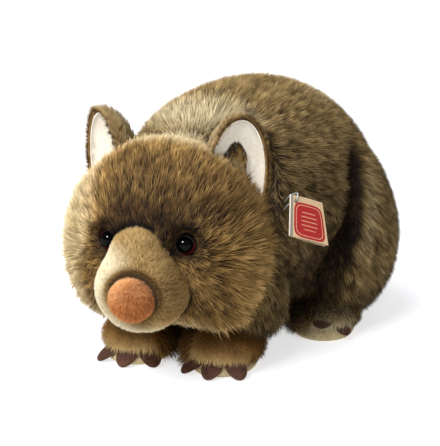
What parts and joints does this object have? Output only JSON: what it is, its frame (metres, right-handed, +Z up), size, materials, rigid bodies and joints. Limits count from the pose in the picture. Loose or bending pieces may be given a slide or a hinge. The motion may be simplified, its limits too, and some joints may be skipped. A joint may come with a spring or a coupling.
{
  "type": "stuffed plush wombat",
  "caption": "Plush toy wombat on four short legs, with a round head, pale muzzle, nose, upright ears, suede claws and a folded swing tag.",
  "frame": {"origin": "on the floor, under the middle of the whole toy's box", "axes": "+X is the animal's left side, -Y the way it faces, +Z up; the toy is longest along Y"},
  "size_m": [0.1582, 0.272, 0.1637],
  "materials": {
    "body_fur": "matte",
    "foot_pile": "matte",
    "sole_plush": "matte",
    "claw_suede": "matte",
    "muzzle_pile": "matte",
    "nose_pile": "matte",
    "ear_felt": "matte",
    "eye_black": "gloss",
    "rim_black": "satin",
    "red_felt": "matte",
    "tag_card": "satin",
    "loop_nylon": "satin"
  },
  "bodies": {
    "root": {"forefoot_left": "foot_pile", "foresole_left": "sole_plush", "foreclaw_left_1": "claw_suede", "foreclaw_left_2": "claw_suede", "foreclaw_left_3": "claw_suede", "hindfoot_left": "foot_pile", "hindsole_left": "sole_plush", "hindclaw_left_1": "claw_suede", "hindclaw_left_2": "claw_suede", "hindclaw_left_3": "claw_suede", "forefoot_right": "foot_pile", "foresole_right": "sole_plush", "foreclaw_right_1": "claw_suede", "foreclaw_right_2": "claw_suede", "foreclaw_right_3": "claw_suede", "hindfoot_right": "foot_pile", "hindsole_right": "sole_plush", "hindclaw_right_1": "claw_suede", "hindclaw_right_2": "claw_suede", "hindclaw_right_3": "claw_suede", "torso": "body_fur", "hindleg_left": "body_fur", "foreleg_left": "body_fur", "hindleg_right": "body_fur", "foreleg_right": "body_fur", "tail": "body_fur", "head": "body_fur", "muzzle": "muzzle_pile", "nose": "nose_pile", "ear_left": "body_fur", "ear_lining_left": "ear_felt", "eye_left": "eye_black", "eye_rim_left": "rim_black", "eye_felt_left": "red_felt", "ear_right": "body_fur", "ear_lining_right": "ear_felt", "eye_right": "eye_black", "eye_rim_right": "rim_black", "eye_felt_right": "red_felt", "tag_card": "tag_card", "tag_loop": "loop_nylon"}
  },
  "joints": []
}
